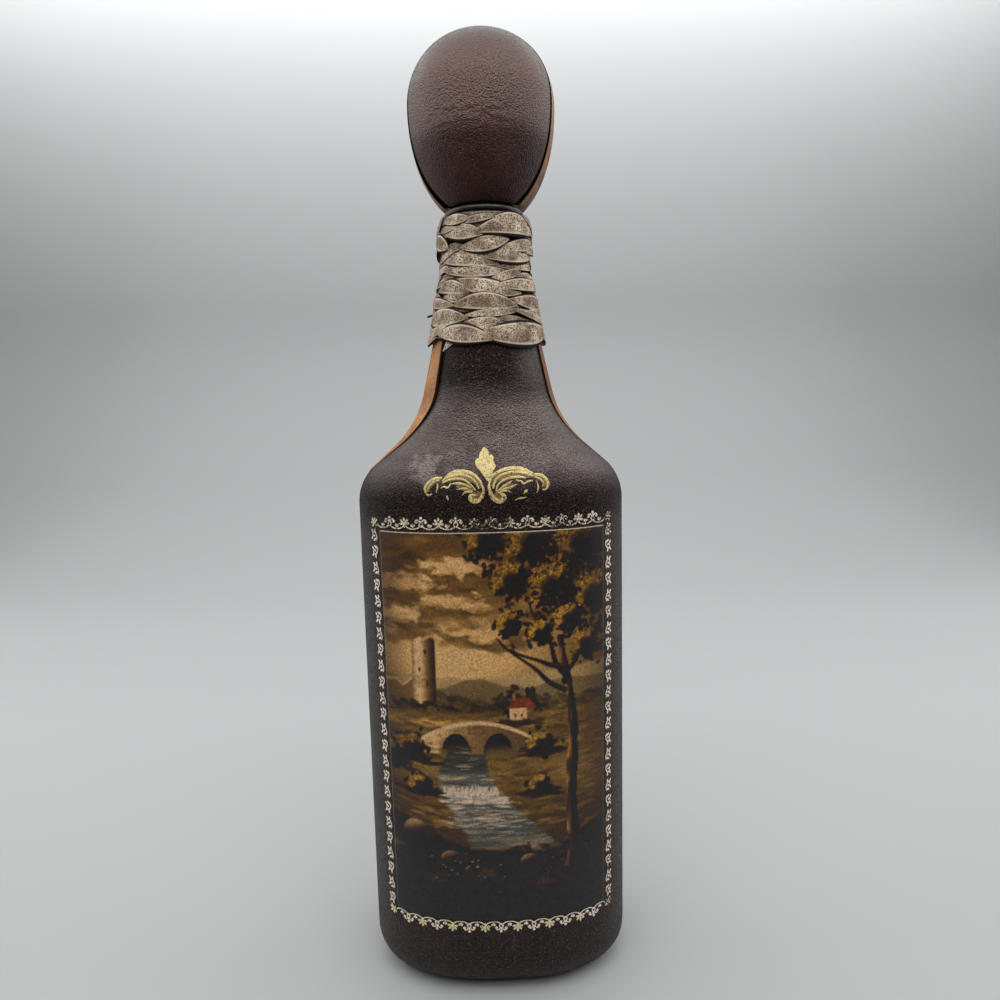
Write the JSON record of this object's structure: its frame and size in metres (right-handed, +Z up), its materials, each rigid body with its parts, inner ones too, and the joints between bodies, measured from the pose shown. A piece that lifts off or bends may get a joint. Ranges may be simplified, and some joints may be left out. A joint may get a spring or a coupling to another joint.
{
  "type": "leather-wrapped decanter",
  "caption": "Oval glass decanter dressed in dark leather with tan side strips, a framed picture on the front, a plaited neck wrap and an egg-shaped leather stopper on a cork.",
  "frame": {"origin": "middle of the foot, on the surface that the decanter stands on", "axes": "+Z up along the bottle's axis, -Y towards the picture on the front, +X to the right as the picture is seen"},
  "size_m": [0.0902, 0.0627, 0.3169],
  "materials": {
    "bottle_glass": "clear bottle glass, smooth",
    "pad_leather": "dark leather, flesh side out",
    "cover_leather": "dark brown grained leather, satin",
    "strip_leather": "tan leather, waxed",
    "picture_print": "varnished print",
    "plait_leather": "antiqued taupe leather",
    "cork": "natural cork",
    "knob_wood": "turned softwood"
  },
  "bodies": {
    "bottle": {"glass_bottle": "bottle_glass", "base_pad": "pad_leather", "front_cover": "cover_leather", "back_cover": "cover_leather", "left_side_strip": "strip_leather", "right_side_strip": "strip_leather", "picture_panel": "picture_print", "neck_plait": "plait_leather"},
    "stopper": {"cork_plug": "cork", "stopper_collar": "cover_leather", "knob_core": "knob_wood", "knob_back_cover": "cover_leather", "knob_front_cover": "cover_leather", "knob_band": "strip_leather"}
  },
  "joints": [
    {"name": "stopper_pull", "type": "slide", "parent": "bottle", "child": "stopper", "axis": [0, 0, 1], "range_m": [0, 0.04]}
  ]
}
